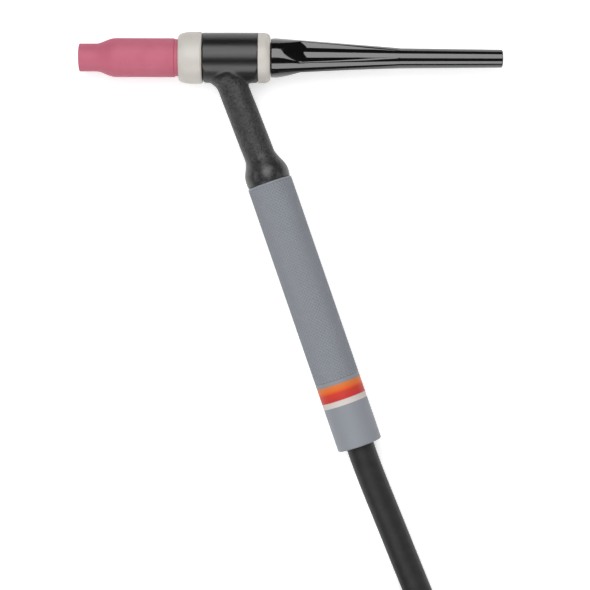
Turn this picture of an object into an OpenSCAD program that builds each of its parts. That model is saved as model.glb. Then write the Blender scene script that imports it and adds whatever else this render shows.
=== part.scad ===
// Gas-cooled TIG torch with a rigid neck, a long back cap and a one-piece power cable.
// It lies on its side: the head's axis is the X axis, the cup's mouth is at the origin and
// opens towards -X, and the handle runs towards -Y. All sizes are in millimetres.

/* [Cup] */
// Length of the ceramic cup
cup_len = 47.5; // [44:0.5:60]
// Diameter of the cup's body
cup_d = 17.8; // [17:0.1:19]
// Diameter of the straight tip
cup_tip_d = 12.8; // [12:0.1:14]
// Length of the straight tip
cup_tip_len = 8; // [6:0.5:11]
// Length of the curved shoulder behind the tip
cup_shoulder_len = 9; // [6:0.5:12]
// Diameter of the orifice
cup_orifice_d = 9.5; // [8:0.1:10.5]
// Diameter of the gas space inside the cup
cup_inner_d = 13.2; // [12.8:0.1:14]
// Length of the reduced lip that seats in the gasket
cup_lip_len = 3.5; // [2.5:0.1:5]
// Depth of the lip's step below the body
cup_lip_step = 0.4; // [0.2:0.1:0.8]
// Depth to which the cup enters the gasket
cup_seat_depth = 1.8; // [1:0.1:2.4]
// How far the cup unscrews
cup_travel = 8; // [4:0.5:9]

/* [Collet and electrode] */
// Diameter of the electrode
electrode_d = 2.4; // [1.6:0.1:2.6]
// Length of the electrode
electrode_len = 175; // [150:1:200]
// Distance from the cup's mouth back to the electrode's tip
electrode_recess = 7; // [6:0.5:9]
// Length of the electrode's ground point
electrode_point = 4; // [2:0.5:6]
// Diameter of the collet
collet_d = 4.8; // [4.4:0.1:5]
// Length of the collet
collet_len = 52; // [44:0.5:53]
// Distance from the cup's rear end forward to the collet's front end
collet_ahead = 27.5; // [20:0.5:30]
// Distance from the collet's front end forward to the collet body's nose
nose_ahead = 11; // [8:0.5:14]
// Diameter of the collet body's nose
collet_nose_d = 7.8; // [7:0.1:8.6]
// Diameter of the thread that carries the cup
cup_thread_d = 12.9; // [12:0.1:13.1]
// Diameter of the thread that screws into the head
body_thread_d = 10.8; // [10:0.1:11.2]
// Diameter of one gas hole
gas_hole_d = 2; // [1.2:0.1:2.4]
// Number of gas holes
gas_holes = 4; // [3:1:6]

/* [Head] */
// Diameter of the front gasket
gasket_d = 23.8; // [23.2:0.1:24.6]
// Length of the front gasket
gasket_len = 11.1; // [9:0.1:13]
// Diameter of the gasket's front face
gasket_face_d = 20; // [19:0.1:21]
// Diameter of the head's moulding and of the rear insulator
head_d = 23; // [22:0.1:23.2]
// Length of the head's moulding
head_len = 25.4; // [24.6:0.1:28]
// Diameter of the brass core
core_d = 16.4; // [15.6:0.1:17]
// Diameter of the core's front spigot
spigot_d = 14; // [13.6:0.1:14.6]
// Length of the spigot inside the gasket
spigot_len = 6.8; // [5:0.1:8]
// Length of the rear insulator
rear_ring_len = 5.6; // [5:0.1:7]
// Length of the rounding at the rear insulator's edge
rear_round_len = 3; // [1:0.1:3.4]
// Diameter of the rear insulator's rear face
rear_face_d = 18.8; // [18:0.1:20]

/* [Back cap] */
// Room left behind the electrode in the cap, which sets the cap's length
cap_room = 8; // [6.5:0.5:20]
// Diameter of the collar at the cap's base
cap_collar_d = 18.2; // [17:0.1:18.6]
// Length of the fluted cone
cap_cone_len = 56.4; // [50:0.5:62]
// Distance from the cap's base to the foot of the flutes' ramps
flute_foot = 17.4; // [15:0.1:18.5]
// Diameter at the small end of the cone
cap_cone_end_d = 10; // [9.8:0.1:10.4]
// Diameter of the stem next to the cone
cap_stem_d = 9.4; // [8.6:0.1:9.6]
// Diameter of the stem's free end
cap_stem_end_d = 8.4; // [7.4:0.1:8.6]
// Number of flutes
flutes = 3; // [3:1:5]
// Angle of the first flute round the cap, from the upward direction
flute_turn = 20; // [0:1:60]
// Radius across a flute, which is hollow
flute_r = 12.8; // [9:0.1:16]
// Distance from the cap's axis to the flute's bottom at its deep end
flute_depth_r = 5.2; // [4.8:0.1:5.6]
// Slope of the flat ramp at the deep end of a flute
flute_ramp = 15.5; // [14:0.5:24]
// Diameter of the round core that shows between the ribs
cap_core_d = 11.8; // [11.4:0.1:12.4]
// Diameter of the thread that screws into the head
cap_thread_d = 12.6; // [12:0.1:12.8]
// Diameter of the bore that takes the electrode
cap_bore_d = 3.8; // [3.4:0.1:4.2]
// Wall left at the closed end of the bore
cap_end_wall = 4.5; // [3:0.5:8]
// Thickness of the O-ring's cord
o_ring_t = 2; // [1.6:0.1:2.1]
// How far the back cap unscrews
cap_travel = 12; // [6:0.5:14]

/* [Neck] */
// Angle between the neck and a plane square to the head
neck_angle = 21.4; // [19.8:0.1:28]
// Distance from the gasket's rear face to the neck's axis
neck_offset = 8.6; // [8.2:0.1:10]
// Distance along the neck from the head's axis to the bend at the handle
neck_reach = 54.3; // [50:0.1:70]
// Diameter of the neck at the head
neck_d = 14.1; // [13:0.1:15]
// Diameter of the neck at the bulge
neck_end_d = 14.4; // [13.6:0.1:15]
// Radius of the fillet between the neck and the head
neck_fillet_r = 5.8; // [4.4:0.1:6.4]
// Diameter of the bulge in front of the handle
bulge_d = 20.6; // [19:0.1:20.8]
// Length over which the bulge swells
bulge_len = 9.6; // [7:0.1:12]
// Diameter of the copper tube
tube_d = 7.9; // [7:0.1:8.2]
// Bore of the copper tube
tube_bore_d = 5.2; // [4:0.1:5.6]

/* [Handle] */
// Angle between the handle and a plane square to the head
handle_angle = 19.2; // [14:0.1:21]
// Outer diameter of the handle
handle_d = 20.9; // [20.2:0.1:22]
// Bore of the handle
handle_bore_d = 16.4; // [16.2:0.1:17]
// Length of the handle
handle_len = 127.6; // [120:0.5:150]
// Distance from the neck's bend to the handle
handle_start = 7.2; // [6:0.1:9]
// Radius of the handle's rear edge
handle_edge_r = 1.7; // [0.5:0.1:1.9]
// Distance from the label to the handle's rear end
label_back = 20.4; // [10:0.1:40]
// Length of the label
label_len = 10.9; // [6:0.1:14]
// Thickness of the label
label_t = 0.2; // [0.1:0.05:0.4]

// Length of the head moulding's plug inside the handle
plug_len = 20; // [15:0.5:24]
// Length of the nut on the cable's end
nut_len = 14; // [12:0.5:16]
// Length of the nipple's barb inside the hose
barb_len = 19.5; // [15:0.5:24]
// How far the insulating sleeve runs past the barb
sleeve_past = 6; // [3:0.5:9]

/* [Cable] */
// Outer diameter of the cable
cable_d = 12.9; // [12.4:0.1:13]
// Bore of the cable's hose
hose_bore_d = 8.3; // [8:0.1:8.6]
// Diameter of the copper strands
strands_d = 6.6; // [6:0.1:7]
// Diameter of the coil at the middle of its turns
coil_mid_d = 154; // [150:1:200]
// Whole turns in the coil, to which a part turn is added
coil_turns = 7; // [5:1:9]
// Clear gap between neighbouring turns
turn_gap = 0.5; // [0.45:0.05:1]
// Thickness of the hook-and-loop tie
tie_t = 1.2; // [0.8:0.1:1.6]
// Width of the tie
tie_w = 16; // [10:1:20]

/* [Connector] */
// Diameter over the thread of the connector
connector_thread_d = 15.875; // [15:0.005:17]
// Length of the connector's thread
connector_thread_len = 14; // [10:0.5:18]
// Width across the flats of the connector's hexagon
connector_hex_af = 19; // [17.5:0.5:21]
// Length of the hexagon
connector_hex_len = 11; // [8:0.5:14]

/* [Fits] */
// Radial clearance of a running or screwed fit
fit_gap = 0.05; // [0.02:0.01:0.1]
// Clearance between faces that only lie near each other
loose_gap = 0.3; // [0.2:0.05:0.4]

/* [Hidden] */
$fn = 96;

// Stations along the head's axis
x_gasket = cup_len - cup_seat_depth;
x_head = x_gasket + gasket_len;
x_neck = x_head + neck_offset;
x_ring = x_head + head_len;
x_ring_end = x_ring + rear_ring_len;
x_cap = x_ring_end + loose_gap;
x_cap_end = electrode_recess + electrode_len + cap_room + cap_end_wall;
x_spigot = x_head - spigot_len;
x_core_end = x_cap - o_ring_t - 0.1;
x_collet_front = cup_len - collet_ahead;
x_collet_end = x_collet_front + collet_len;
x_insert = x_collet_end + loose_gap;
x_nose = x_collet_front - nose_ahead;
x_thread = x_gasket - 9;
x_flange = x_spigot - loose_gap;
x_body_end = x_neck + 3;
x_flange_front = cup_len + 2 * loose_gap;

// Radii
cup_r = cup_d / 2;
cup_lip_r = cup_r - cup_lip_step;
gasket_r = gasket_d / 2;
head_r = head_d / 2;
core_r = core_d / 2;
spigot_r = spigot_d / 2;
cable_r = cable_d / 2;
hose_r = hose_bore_d / 2;
handle_r = handle_d / 2;
handle_bore_r = handle_bore_d / 2;
tube_r = tube_d / 2;
cap_insert_r = cap_thread_d / 2;
o_ring_groove_r = cap_insert_r - 0.8;
o_ring_r = o_ring_groove_r + fit_gap + o_ring_t / 2;
insert_root_r = cap_insert_r - 2.4;
chamfer = 0.4;
insert_depth = 6;

// The torch lies on the gasket and on the handle's rear end
rest_reach = neck_reach * cos(neck_angle) + (handle_start + handle_len) * cos(handle_angle);
lay_tilt = asin((gasket_r - handle_r) / rest_reach);
table_z = -gasket_r;

// The bulge keeps its full diameter this far in front of the handle
bulge_full = 4;
// The brazed ball at the bend of the copper tube
bend_ball_r = tube_r + 0.7;
// Turned solids that cross at a small angle start their outlines at different places
seam_turn = 40;

// Stations along the handle's axis, from the neck's bend
u_handle_end = handle_start + handle_len;
u_plug_end = handle_start + plug_len;
u_fitting = u_plug_end + 3;
u_tube_end = u_fitting + 6;
u_collar_end = u_fitting + 7;
u_thread_end = u_collar_end + 9;
u_nut = u_collar_end + 1;
u_nut_end = u_nut + nut_len;
u_nipple_head_end = u_thread_end + 2.4;
u_hose = u_nut_end + 2.7;
u_barb_end = u_hose + barb_len;
u_hose_end = u_handle_end - 8;
u_label_end = u_handle_end - label_back;
u_label = u_label_end - label_len;

// Inside the handle
fitting_thread_r = 5.5;
fitting_collar_r = 6.2;
nut_af = 12.7;
nipple_neck_r = 3.5;
nipple_bore_r = 2.2;
ferrule_t = 0.8;
sleeve_t = 0.6;
sleeve_bore_r = nut_af / 2 / cos(30) + 0.15;

// Points of the lead from the handle's mouth to the coil, chosen by hand along its middle
lead_route = [
    [127, -170.5, -1.4],
    [131.9, -184.6, -1.5],
    [137, -197.7, -2.5],
    [143.3, -213.1, -4.1],
    [150.6, -231.1, -5.2],
    [158.4, -250.2, -5.4],
    [166.1, -269.2, -5],
    [173.2, -286.8, -3.95],
    [179.7, -302.9, -3.95]
];
// The tail's fall from the top layer to the connector: [distance, share of the fall]
tail_steps = [[0, 0], [8, 0], [20, 0.16], [32, 0.5], [44, 0.84], [56, 1], [70, 1]];
lead_sides = 10;
loop_rings = 24;
loop_sides = 6;

// The coil winds clockwise from the lead's end, in along the table and out on top
turn_step = cable_d + turn_gap;
coil_start = lead_route[len(lead_route) - 1];
coil_heading = unit(coil_start - lead_route[len(lead_route) - 2]);
coil_inward = [coil_heading[1], -coil_heading[0], 0];
start_angle = atan2(-coil_inward[1], -coil_inward[0]);
coil_sweep = 360 * coil_turns + start_angle + 90;
coil_in_r = coil_mid_d / 2 - turn_step * coil_sweep / 1440;
coil_out_r = coil_radius(0);
coil_centre = coil_start + cable_d * coil_heading + coil_out_r * coil_inward;
coil_steps = round(coil_sweep * loop_rings / 360);
coil_path = concat(
    [coil_start],
    [for (i = [0 : coil_steps]) coil_point(coil_sweep * i / coil_steps)],
    [coil_point(coil_sweep) + [-cable_d, 0, 0]]
);
tie_angles = [135, -35];

// The tail leaves the coil towards -X, and the connector lies on its hexagon
tail_start = coil_path[len(coil_path) - 1];
connector_z = table_z + connector_hex_af / 2;
tail_fall = tail_start[2] - connector_z;
tail_route = [for (s = tail_steps) tail_start + [-0.1 - s[0], 0, -s[1] * tail_fall]];
tail_end = tail_route[len(tail_route) - 1];
tip_len = 22;
connector_x = tail_end[0] - 0.1;

// Stations of the connector, from the cable's tip outwards
w_hex = tip_len + 5;
w_thread = w_hex + connector_hex_len;
w_front = w_thread + connector_thread_len;
nose_len = 5;

function unit(v) = v / norm(v);

// Distance of the cord from the coil's centre after it has swept the angle a
function coil_radius(a) =
    let (u = (a - coil_sweep / 2) / 360, ease = 0.05)
    coil_in_r + turn_step * (sqrt(u * u + ease * ease) - ease);

// Height of the cord above the lower layer: it climbs in the half turn at the middle
function coil_climb(a) =
    let (t = min(1, max(0, (a - coil_sweep / 2 + 90) / 180)))
    turn_step * (1 - cos(180 * t)) / 2;

function coil_point(a) =
    let (turn = start_angle - a)
    coil_centre + coil_radius(a) * [cos(turn), sin(turn), 0] + [0, 0, coil_climb(a)];

// Distances from the centre of every pass of the cord at one place round the coil
function coil_passes(angle) =
    let (first = (start_angle - angle + 360) % 360)
    [for (a = [first : 360 : coil_sweep]) coil_radius(a)];

function path_heading(path, i) = unit(path[min(i + 1, len(path) - 1)] - path[max(i - 1, 0)]);

function tube_ring(path, i, radius, sides) =
    let (
        heading = path_heading(path, i),
        side = unit(cross(heading, [0, 0, 1])),
        up = cross(side, heading)
    )
    [for (k = [0 : sides - 1])
        let (a = 90 + 360 * k / sides)
        path[i] + radius * (cos(a) * side + sin(a) * up)];

function tube_faces(rings, sides) = concat(
    [for (k = [1 : sides - 2]) [0, k + 1, k]],
    [for (i = [0 : rings - 2], k = [0 : sides - 1])
        [i * sides + k, i * sides + (k + 1) % sides, (i + 1) * sides + k]],
    [for (i = [0 : rings - 2], k = [0 : sides - 1])
        [i * sides + (k + 1) % sides, (i + 1) * sides + (k + 1) % sides, (i + 1) * sides + k]],
    [for (k = [1 : sides - 2]) (rings - 1) * sides * [1, 1, 1] + [0, k, k + 1]]
);

// The smallest clear distance between rings that lie most of a turn apart
function least_gap(path, away) = min([
    for (i = [0 : len(path) - 1 - away])
        min([for (j = [i + away : len(path) - 1]) norm(path[i] - path[j])])
]) - cable_d;
echo(coil_gap = least_gap(coil_path, loop_rings / 2));
echo(coil_centre = coil_centre, coil_out_r = coil_out_r, coil_in_r = coil_in_r);
echo(connector_x = connector_x, connector_y = tail_end[1], connector_z = connector_z);
echo(connector_front = connector_x - w_front, lay_tilt = lay_tilt);

module tube(path, sides) {
    points = [for (i = [0 : len(path) - 1]) each tube_ring(path, i, cable_r, sides)];
    polyhedron(points, tube_faces(len(path), sides));
}

// A solid turned about the X axis, from an outline of [x, radius] points
module turned(outline) {
    rotate([0, 90, 0])
        rotate_extrude()
            polygon([for (p = outline) [p[1], p[0]]]);
}

// A round bar on the X axis from one station to another
module bar(from, to, radius) {
    translate([from, 0, 0])
        rotate([0, 90, 0])
            cylinder(h = to - from, r = radius);
}

// Turns children made along +X onto the neck's axis, measured from the head's axis
module on_neck() {
    rotate([lay_tilt, 0, 0])
        translate([x_neck, 0, 0])
            rotate([0, 0, neck_angle - 90])
                children();
}

// Turns children made along +X onto the handle's axis, measured from the neck's bend
module on_handle() {
    rotate([lay_tilt, 0, 0])
        translate([x_neck + neck_reach * sin(neck_angle), -neck_reach * cos(neck_angle), 0])
            rotate([0, 0, handle_angle - 90])
                children();
}

module on_connector() {
    translate([connector_x, tail_end[1], tail_end[2]])
        rotate([0, 0, 180])
            children();
}

module ceramic_cup() {
    bore_r = cup_orifice_d / 2;
    inner_r = cup_inner_d / 2;
    thread_r = cup_thread_d / 2 + fit_gap;
    tip_r = cup_tip_d / 2;
    lip_x = cup_len - cup_lip_len;
    shoulder = [for (i = [0 : 12])
        let (t = i / 12)
        [cup_tip_len + cup_shoulder_len * t, tip_r + (cup_r - tip_r) * (1 - cos(180 * pow(t, 0.85))) / 2]];
    color("lightpink")
        turned(concat(
            [[0, bore_r + 0.2], [0, tip_r - 0.3], [0.3, tip_r]],
            shoulder,
            [[lip_x - cup_lip_step, cup_r], [lip_x, cup_lip_r]],
            [[cup_len - 0.2, cup_lip_r], [cup_len, cup_lip_r - 0.2]],
            [[cup_len, thread_r], [x_thread, thread_r], [x_thread, inner_r]],
            [[cup_tip_len + 6, inner_r], [cup_tip_len + 2, bore_r], [0.2, bore_r]]
        ));
}

module collet_body() {
    nose_r = collet_nose_d / 2;
    thread_r = cup_thread_d / 2;
    bore_r = collet_d / 2 + fit_gap;
    gas_x = x_collet_front + 8;
    color("peru")
        difference() {
            turned([
                [x_nose, 0], [x_nose, nose_r - 1], [x_nose + 1, nose_r],
                [x_thread - 3, nose_r], [x_thread, thread_r],
                [x_flange_front, thread_r], [x_flange_front, spigot_r],
                [x_flange, spigot_r], [x_flange, body_thread_d / 2],
                [x_body_end, body_thread_d / 2], [x_body_end, 0]
            ]);
            bar(x_nose + 5, x_body_end + 1, bore_r);
            bar(x_nose - 1, x_nose + 6, electrode_d / 2 + 0.3);
            for (i = [0 : gas_holes - 1])
                rotate([i * 360 / gas_holes + 45, 0, 0])
                    translate([gas_x, 0, bore_r - 0.5])
                        cylinder(h = nose_r, d = gas_hole_d);
        }
}

module collet() {
    slot_w = 0.5;
    slot_len = collet_len * 0.45;
    front_x = x_nose + 5 + loose_gap;
    color("chocolate")
        difference() {
            bar(front_x, x_collet_end, collet_d / 2);
            bar(front_x - 1, x_collet_end + 1, electrode_d / 2 + fit_gap);
            for (turn = [0, 90])
                rotate([turn, 0, 0])
                    translate([front_x - 1, -slot_w / 2, -collet_d])
                        cube([slot_len + 1, slot_w, 2 * collet_d]);
        }
}

module tungsten_electrode() {
    x_point = electrode_recess;
    color("dimgray")
        turned([
            [x_point, 0], [x_point, 0.15], [x_point + electrode_point, electrode_d / 2],
            [x_point + electrode_len, electrode_d / 2], [x_point + electrode_len, 0]
        ]);
}

module cup_gasket() {
    face_r = gasket_face_d / 2;
    seat_r = cup_lip_r + loose_gap;
    seat_x = cup_len + loose_gap;
    round_len = 6.2;
    front = [for (i = [0 : 10])
        let (a = 90 * i / 10)
        [x_gasket + round_len * (1 - cos(a)), face_r + (gasket_r - face_r) * sin(a)]];
    color("ivory")
        turned(concat(
            [[x_gasket, seat_r]],
            front,
            [[x_head - 1, gasket_r], [x_head - loose_gap, gasket_r - 0.5]],
            [[x_head - loose_gap, spigot_r + fit_gap], [seat_x, spigot_r + fit_gap], [seat_x, seat_r]]
        ));
}

module head_core() {
    thread_r = body_thread_d / 2 + fit_gap;
    rear_r = cap_insert_r + fit_gap;
    color("goldenrod")
        difference() {
            turned([
                [x_spigot, thread_r], [x_spigot, spigot_r], [x_head + 1, spigot_r],
                [x_head + 1, core_r], [x_core_end, core_r], [x_core_end, rear_r],
                [x_insert - 1, rear_r], [x_insert - 1, collet_d / 2 + 0.4],
                [x_body_end + 1, collet_d / 2 + 0.4], [x_body_end + 1, thread_r]
            ]);
            on_neck() {
                bar(0, core_r + 2, tube_bore_d / 2 - 0.5);
                bar(core_r - 0.2, core_r + 6, tube_r + fit_gap);
            }
        }
}

// A round bar along the neck's axis to the bend and on along the handle's, with a ball at the bend
module bent_bar(from, to, radius, ball_r) {
    on_neck()
        bar(from, neck_reach, radius);
    on_neck()
        translate([neck_reach, 0, 0])
            rotate([0, seam_turn, 0])
                sphere(r = ball_r);
    on_handle()
        rotate([seam_turn, 0, 0])
            bar(0, to, radius);
}

// Radius of the bulge at a distance in front of the handle's front end
function bulge_radius(ahead) =
    let (t = min(1, (ahead - bulge_full) / bulge_len), edge_r = handle_r - 0.65)
    ahead > bulge_full
        ? bulge_d / 2 - (bulge_d - neck_end_d) / 2 * (1 - cos(180 * t)) / 2
        : edge_r + (bulge_d / 2 - edge_r) * sqrt(1 - pow(1 - ahead / bulge_full, 2));

module head_moulding() {
    plug_r = handle_bore_r - fit_gap;
    swell = bulge_full + bulge_len;
    fillet_end = (head_r - neck_d / 2 * sin(neck_angle)) / cos(neck_angle) + 4.1;
    fillet = [for (i = [0 : 6])
        let (away = neck_fillet_r * 0.7 * (1 - i / 6))
        [fillet_end - away, neck_d / 2 + neck_fillet_r - sqrt(pow(neck_fillet_r, 2) - away * away)]];
    color("dimgray")
        difference() {
            union() {
                bar(x_head, x_ring, head_r);
                on_neck()
                    turned(concat(
                        [[0, 0], [0, fillet[0][1]]],
                        fillet,
                        [[neck_reach, neck_end_d / 2], [neck_reach, 0]]
                    ));
                on_handle()
                    rotate([seam_turn, 0, 0])
                        turned(concat(
                            [[handle_start - swell, 0], [handle_start - swell, neck_end_d / 2 - 0.6]],
                            [for (i = [2 : 16])
                                let (ahead = swell * (1 - i / 16))
                                [handle_start - ahead, bulge_radius(ahead)]],
                            [[handle_start, plug_r], [u_plug_end, plug_r], [u_plug_end, 0]]
                        ));
            }
            bar(x_head - 1, x_ring + 1, core_r + fit_gap);
            bent_bar(0, u_plug_end + 1, tube_r + fit_gap, bend_ball_r + fit_gap);
        }
}

module rear_insulator() {
    face_r = rear_face_d / 2;
    seal_r = o_ring_r + o_ring_t / 2 + fit_gap;
    edge = [for (i = [0 : 8])
        let (a = 90 * i / 8)
        [x_ring_end - rear_round_len * (1 - sin(a)), face_r + (head_r - face_r) * cos(a)]];
    color("ivory")
        turned(concat(
            [[x_ring, core_r + fit_gap], [x_ring, head_r]],
            edge,
            [[x_ring_end, seal_r], [x_core_end + fit_gap, seal_r], [x_core_end + fit_gap, core_r + fit_gap]]
        ));
}

// The space of one flute: a hollow that a flat ramp closes at its deep end
module flute(length) {
    run_in = 2 * flute_r;
    intersection() {
        translate([-run_in, 0, flute_r])
            rotate([0, 90, 0])
                cylinder(h = run_in + length, r = flute_r);
        rotate([0, flute_ramp, 0])
            translate([-run_in, -flute_r, 0])
                cube([run_in + 2 * length, 2 * flute_r, 2 * run_in]);
    }
}

module back_cap() {
    collar_r = cap_collar_d / 2;
    cone_x = x_cap + cap_cone_len;
    ramp_x = x_cap + flute_foot;
    run_out_r = cap_stem_d / 2 - 0.3;
    flute_tilt = atan((flute_depth_r - run_out_r) / (cone_x + 3 - ramp_x));
    color("black")
        difference() {
            turned([
                [x_cap, 0], [x_cap, collar_r - 0.5], [x_cap + 0.4, collar_r - 0.1], [x_cap + 1.8, collar_r],
                [x_cap + 3.6, collar_r - 0.1], [cone_x, cap_cone_end_d / 2],
                [cone_x + 1.6, cap_stem_d / 2 + 0.15], [cone_x + 3, cap_stem_d / 2],
                [x_cap_end - chamfer, cap_stem_end_d / 2], [x_cap_end, cap_stem_end_d / 2 - chamfer],
                [x_cap_end, 0]
            ]);
            difference() {
                for (i = [0 : flutes - 1])
                    rotate([i * 360 / flutes - flute_turn, 0, 0])
                        translate([ramp_x, 0, flute_depth_r])
                            rotate([0, flute_tilt, 0])
                                flute(cone_x + 6 - ramp_x);
                turned([
                    [x_cap - 1, 0], [x_cap - 1, cap_core_d / 2], [ramp_x, cap_core_d / 2],
                    [cone_x + 3, cap_stem_d / 2], [cone_x + 9, 0]
                ]);
            }
            bar(x_cap - 1, x_cap_end - cap_end_wall, cap_bore_d / 2);
            bar(x_cap - 1, x_cap + insert_depth, insert_root_r + fit_gap);
        }
}

module cap_insert() {
    color("goldenrod")
        turned([
            [x_insert, cap_bore_d / 2], [x_insert, cap_insert_r - 0.5], [x_insert + 0.5, cap_insert_r],
            [x_core_end, cap_insert_r], [x_core_end, o_ring_groove_r], [x_cap, o_ring_groove_r],
            [x_cap, insert_root_r], [x_cap + insert_depth, insert_root_r],
            [x_cap + insert_depth, cap_bore_d / 2]
        ]);
}

module cap_o_ring() {
    color("black")
        translate([x_cap - 0.05 - o_ring_t / 2, 0, 0])
            rotate([0, 90, 0])
                rotate_extrude()
                    translate([o_ring_r, 0])
                        circle(d = o_ring_t, $fn = 48);
}

module neck_tube() {
    color("peru")
        difference() {
            bent_bar(core_r, u_tube_end, tube_r, bend_ball_r);
            bent_bar(core_r - 1, u_tube_end + 1, tube_bore_d / 2, tube_bore_d / 2 + 0.4);
        }
}

module neck_fitting() {
    bore_r = 3;
    color("goldenrod")
        on_handle()
            turned([
                [u_fitting, tube_r + fit_gap], [u_fitting, fitting_collar_r],
                [u_collar_end, fitting_collar_r], [u_collar_end, fitting_thread_r],
                [u_thread_end, fitting_thread_r], [u_thread_end, bore_r],
                [u_tube_end + fit_gap, bore_r], [u_tube_end + fit_gap, tube_r + fit_gap]
            ]);
}

module cable_nut() {
    color("goldenrod")
        on_handle()
            difference() {
                translate([u_nut, 0, 0])
                    rotate([0, 90, 0])
                        cylinder(h = u_nut_end - u_nut, r = nut_af / 2 / cos(30), $fn = 6);
                bar(u_nut - 1, u_nipple_head_end + fit_gap, fitting_thread_r + fit_gap);
                bar(u_nut, u_nut_end + 1, nipple_neck_r + fit_gap);
            }
}

module cable_nipple() {
    head_r = fitting_thread_r - loose_gap;
    barb_r = hose_r - fit_gap;
    color("goldenrod")
        on_handle()
            turned([
                [u_thread_end + fit_gap, nipple_bore_r], [u_thread_end + fit_gap, head_r],
                [u_nipple_head_end, head_r], [u_nipple_head_end, nipple_neck_r],
                [u_nut_end + loose_gap, nipple_neck_r], [u_nut_end + loose_gap, 5],
                [u_hose - loose_gap, 5], [u_hose - loose_gap, barb_r],
                [u_barb_end, barb_r], [u_barb_end, nipple_bore_r]
            ]);
}

// A crimped sleeve round the end of the hose, from one station to another
module crimp_sleeve(from, to) {
    inner_r = cable_r + fit_gap;
    outer_r = inner_r + ferrule_t;
    difference() {
        bar(from, to, outer_r);
        bar(from - 1, to + 1, inner_r);
        for (i = [1 : 3])
            turned([
                [from + (to - from) * i / 4 - 1.2, outer_r + 1], [from + (to - from) * i / 4 - 1.2, outer_r],
                [from + (to - from) * i / 4 - 0.8, outer_r - 0.3], [from + (to - from) * i / 4 + 0.8, outer_r - 0.3],
                [from + (to - from) * i / 4 + 1.2, outer_r], [from + (to - from) * i / 4 + 1.2, outer_r + 1]
            ]);
    }
}

module cable_ferrule() {
    color("silver")
        on_handle()
            crimp_sleeve(u_hose, u_barb_end);
}

module insulating_sleeve() {
    color("darkslategray")
        on_handle()
            turned([
                [u_plug_end + 1.5, sleeve_bore_r], [u_plug_end + 1.5, sleeve_bore_r + sleeve_t],
                [u_barb_end + sleeve_past, sleeve_bore_r + sleeve_t], [u_barb_end + sleeve_past, sleeve_bore_r]
            ]);
}

module handle() {
    label_r = handle_r - label_t;
    edge = [for (i = [0 : 8])
        let (a = 90 * i / 8)
        [u_handle_end - handle_edge_r * (1 - sin(a)), handle_r - handle_edge_r * (1 - cos(a))]];
    color("lightslategray")
        on_handle()
            turned(concat(
                [[handle_start, handle_bore_r], [handle_start, handle_r - 0.3]],
                [[handle_start + 0.3, handle_r], [u_label, handle_r], [u_label, label_r]],
                [[u_label_end, label_r], [u_label_end, handle_r]],
                edge,
                [[u_handle_end, handle_bore_r + 0.3], [u_handle_end - 0.5, handle_bore_r]]
            ));
}

module label_band() {
    color("orangered")
        on_handle()
            difference() {
                bar(u_label + 0.02, u_label_end - 0.02, handle_r);
                bar(u_label - 1, u_label_end + 1, handle_r - label_t + 0.02);
            }
}

module cable_end() {
    color("black")
        on_handle()
            difference() {
                bar(u_hose, u_hose_end, cable_r);
                bar(u_hose - 1, u_hose_end + 1, hose_r);
            }
}

module power_strands() {
    color("peru")
        on_handle()
            turned([
                [u_hose + 5, 0], [u_hose + 5, nipple_bore_r - fit_gap],
                [u_barb_end + fit_gap, nipple_bore_r - fit_gap], [u_barb_end + fit_gap, strands_d / 2],
                [u_hose_end, strands_d / 2], [u_hose_end, 0]
            ]);
}

module cable_lead() {
    color("black")
        tube(lead_route, lead_sides);
}

module cable_coil() {
    color("black")
        tube(coil_path, loop_sides);
}

module cable_tail() {
    color("black")
        tube(tail_route, lead_sides);
}

// The outline of a flat loop round the bundle, grown outwards by more
module tie_outline(inner, outer, low, high, more) {
    corner = cable_r + loose_gap;
    for (x = [inner + corner, outer - corner], y = [low + corner, high - corner])
        translate([x, y])
            circle(r = corner + more);
    translate([inner - more, low + corner])
        square([outer - inner + 2 * more, high - low - 2 * corner]);
    translate([inner + corner, low - more])
        square([outer - inner - 2 * corner, high - low + 2 * more]);
}

module coil_ties() {
    low = coil_start[2] - cable_r - loose_gap;
    high = low + turn_step + cable_d + 2 * loose_gap;
    color("darkslategray")
        for (angle = tie_angles) {
            passes = coil_passes(angle);
            bundle_r = min(passes) - cable_r;
            inner = sqrt(bundle_r * bundle_r - tie_w * tie_w / 4) - loose_gap - 0.2;
            outer = max(passes) + cable_r + loose_gap;
            translate([coil_centre[0], coil_centre[1], 0])
                rotate([0, 0, angle])
                    translate([0, tie_w / 2, 0])
                        rotate([90, 0, 0])
                            linear_extrude(height = tie_w)
                                difference() {
                                    tie_outline(inner, outer, low, high, tie_t);
                                    tie_outline(inner, outer, low, high, 0);
                                }
        }
}

module cable_tip() {
    color("black")
        on_connector()
            difference() {
                bar(0, tip_len, cable_r);
                bar(-1, tip_len + 1, hose_r);
            }
}

module connector_ferrule() {
    color("silver")
        on_connector()
            crimp_sleeve(2, tip_len);
}

module connector_nipple() {
    barb_r = hose_r - fit_gap;
    nose_r = connector_thread_d / 2 - 2.2;
    color("goldenrod")
        on_connector()
            turned([
                [2, 0], [2, barb_r], [tip_len + loose_gap, barb_r], [tip_len + loose_gap, 6.4],
                [w_hex - loose_gap, 6.4], [w_hex - loose_gap, nipple_neck_r],
                [w_front + fit_gap, nipple_neck_r], [w_front + fit_gap, nose_r],
                [w_front + 1.2, nose_r], [w_front + nose_len, 2.6], [w_front + nose_len, 1.6],
                [w_front + 1, 1.6], [w_front + 1, 0]
            ]);
}

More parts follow.
